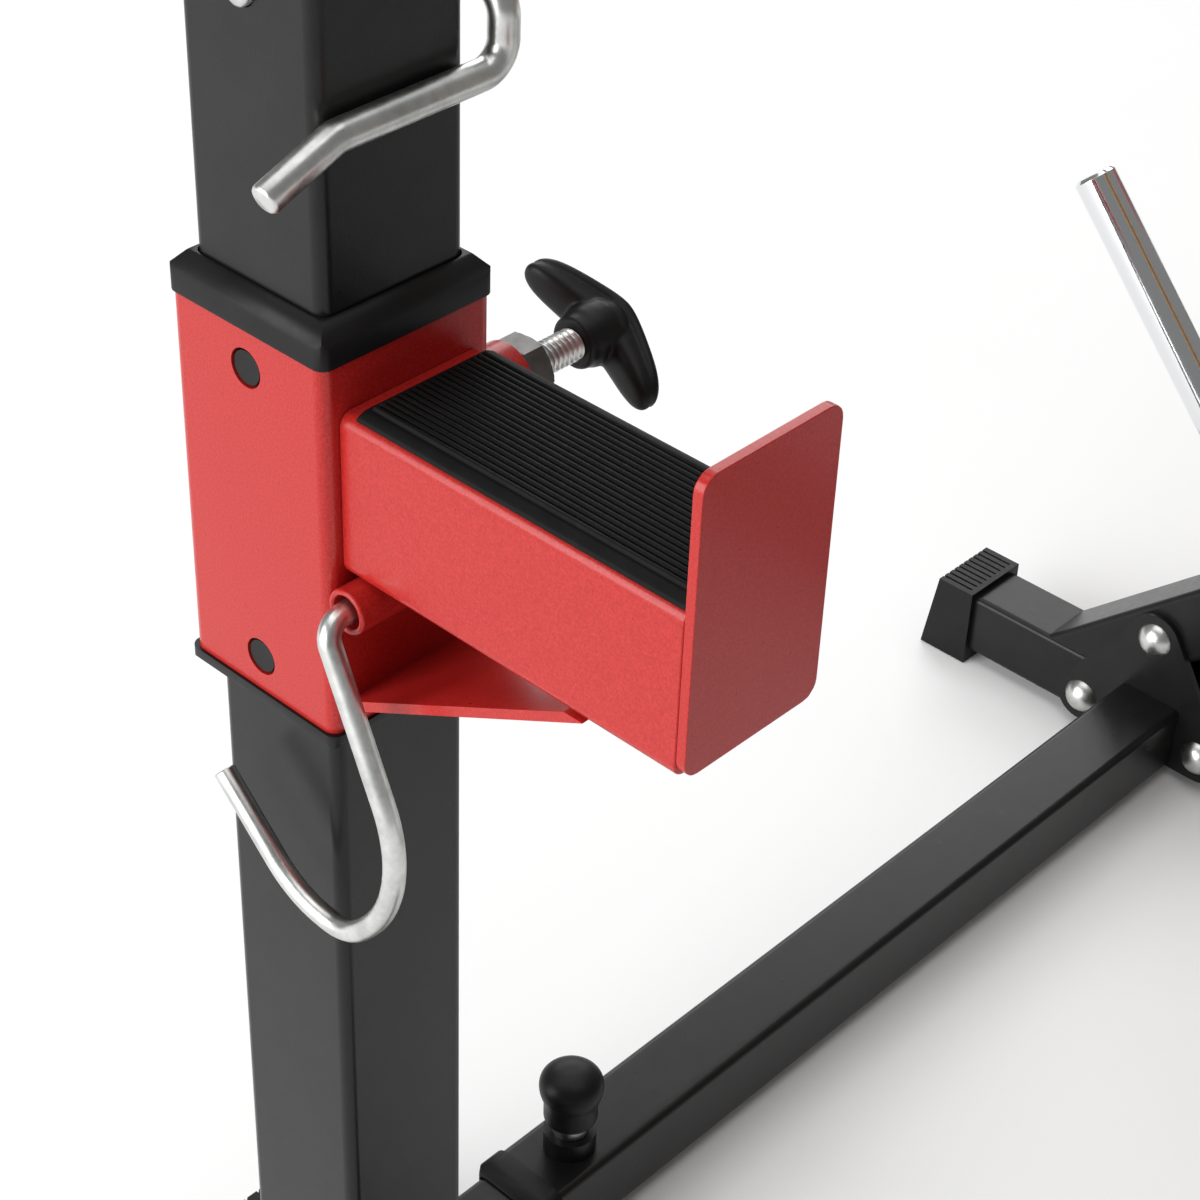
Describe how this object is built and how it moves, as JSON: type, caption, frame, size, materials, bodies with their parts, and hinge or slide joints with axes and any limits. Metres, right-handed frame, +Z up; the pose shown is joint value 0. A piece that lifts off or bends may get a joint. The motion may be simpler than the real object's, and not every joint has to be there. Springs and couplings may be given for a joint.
{
  "type": "adjustable weight bench",
  "caption": "Padded bench with a tilting backrest and adjustable bar stands that carry bar catches, padded sliding safety arms, swinging hooks and locking pins.",
  "frame": {"origin": "on the floor, at the centre of the footprint", "axes": "+X across the bench towards its right stand, +Y from the foot end towards the stands, +Z up"},
  "size_m": [1.119, 1.189, 0.936],
  "materials": {
    "frame_steel": "satin black powder coat",
    "red_steel": "glossy red powder coat",
    "zinc": "bright zinc plating",
    "chrome": "polished chrome",
    "black_plastic": "fine-grained moulding",
    "rubber": "ribbed soft rubber",
    "vinyl": "fine-grained black upholstery",
    "board": "raw plywood"
  },
  "bodies": {
    "frame": {"spine": "frame_steel", "front_foot": "frame_steel", "foot_caps": "black_plastic", "main_post": "frame_steel", "front_post": "frame_steel", "seat_rail": "frame_steel", "rail_plugs": "black_plastic", "storage_peg": "chrome", "bracket_plates": "frame_steel", "bracket_bolts": "zinc", "crossbars": "frame_steel", "crossbar_collars": "black_plastic", "width_barrels": "zinc", "hinge_bolt": "zinc", "seat_board": "board", "seat_cushion": "vinyl"},
    "backrest": {"backrest_frame": "frame_steel", "quadrant": "frame_steel", "backrest_board": "board", "backrest_cushion": "vinyl"},
    "backrest_pull_pin": {"backrest_pin": "zinc", "backrest_pin_knob": "black_plastic"},
    "left_width_pin": {"left_width_knob": "black_plastic"},
    "left_stand": {"left_upright": "frame_steel", "left_foot": "frame_steel", "left_foot_caps": "black_plastic", "left_slider_tube": "frame_steel", "left_top_bush": "black_plastic"},
    "left_mast": {"left_post": "frame_steel", "left_bar_catch": "red_steel", "left_catch_liner": "black_plastic"},
    "left_locking_pin": {"left_lock_pin": "zinc"},
    "left_safety_arm": {"left_sleeve": "red_steel", "left_sleeve_bushes": "black_plastic", "left_arm": "red_steel", "left_end_plate": "red_steel", "left_arm_pad": "rubber", "left_jam_nut": "zinc"},
    "left_clamp": {"left_clamp_screw": "zinc", "left_clamp_knob": "black_plastic"},
    "left_swing_hook": {"left_hook": "zinc"},
    "right_width_pin": {"right_width_knob": "black_plastic"},
    "right_stand": {"right_upright": "frame_steel", "right_foot": "frame_steel", "right_foot_caps": "black_plastic", "right_slider_tube": "frame_steel", "right_top_bush": "black_plastic"},
    "right_mast": {"right_post": "frame_steel", "right_bar_catch": "red_steel", "right_catch_liner": "black_plastic"},
    "right_locking_pin": {"right_lock_pin": "zinc"},
    "right_safety_arm": {"right_sleeve": "red_steel", "right_sleeve_bushes": "black_plastic", "right_arm": "red_steel", "right_end_plate": "red_steel", "right_arm_pad": "rubber", "right_jam_nut": "zinc"},
    "right_clamp": {"right_clamp_screw": "zinc", "right_clamp_knob": "black_plastic"},
    "right_swing_hook": {"right_hook": "zinc"}
  },
  "joints": [
    {"name": "backrest_tilt", "type": "hinge", "parent": "frame", "child": "backrest", "pos_m": [0, -0.1955, 0.38], "axis": [1, 0, 0], "range_deg": [-36, 36]},
    {"name": "backrest_pin_pull", "type": "slide", "parent": "frame", "child": "backrest_pull_pin", "axis": [-1, 0, 0], "range_m": [0, 0.012], "stiffness_N_per_m": 400, "springref_m": -0.01},
    {"name": "left_width_pin_lift", "type": "slide", "parent": "frame", "child": "left_width_pin", "axis": [0, 0, 1], "range_m": [0, 0.012], "stiffness_N_per_m": 400, "springref_m": -0.01},
    {"name": "left_stand_width", "type": "slide", "parent": "frame", "child": "left_stand", "axis": [-1, 0, 0], "range_m": [-0.02, 0.1]},
    {"name": "left_mast_height", "type": "slide", "parent": "left_stand", "child": "left_mast", "axis": [0, 0, 1], "range_m": [-0.05, 0.1]},
    {"name": "left_locking_pin_pull", "type": "slide", "parent": "left_stand", "child": "left_locking_pin", "axis": [1, 0, 0], "range_m": [0, 0.06]},
    {"name": "left_arm_height", "type": "slide", "parent": "left_stand", "child": "left_safety_arm", "axis": [0, 0, 1], "range_m": [-0.2, 0.03]},
    {"name": "left_clamp_turn", "type": "hinge", "parent": "left_safety_arm", "child": "left_clamp", "pos_m": [-0.424, 0.4645, 0.392], "axis": [1, 0, 0], "continuous": true},
    {"name": "left_hook_swing", "type": "hinge", "parent": "left_safety_arm", "child": "left_swing_hook", "pos_m": [-0.512, 0.4281, 0.3763], "axis": [1, 0, 0], "range_deg": [-150, 120]},
    {"name": "right_width_pin_lift", "type": "slide", "parent": "frame", "child": "right_width_pin", "axis": [0, 0, 1], "range_m": [0, 0.012], "stiffness_N_per_m": 400, "springref_m": -0.01},
    {"name": "right_stand_width", "type": "slide", "parent": "frame", "child": "right_stand", "axis": [1, 0, 0], "range_m": [-0.02, 0.1]},
    {"name": "right_mast_height", "type": "slide", "parent": "right_stand", "child": "right_mast", "axis": [0, 0, 1], "range_m": [-0.05, 0.1]},
    {"name": "right_locking_pin_pull", "type": "slide", "parent": "right_stand", "child": "right_locking_pin", "axis": [-1, 0, 0], "range_m": [0, 0.06]},
    {"name": "right_arm_height", "type": "slide", "parent": "right_stand", "child": "right_safety_arm", "axis": [0, 0, 1], "range_m": [-0.2, 0.03]},
    {"name": "right_clamp_turn", "type": "hinge", "parent": "right_safety_arm", "child": "right_clamp", "pos_m": [0.424, 0.4645, 0.392], "axis": [1, 0, 0], "continuous": true},
    {"name": "right_hook_swing", "type": "hinge", "parent": "right_safety_arm", "child": "right_swing_hook", "pos_m": [0.512, 0.4281, 0.3763], "axis": [1, 0, 0], "range_deg": [-150, 120]}
  ]
}
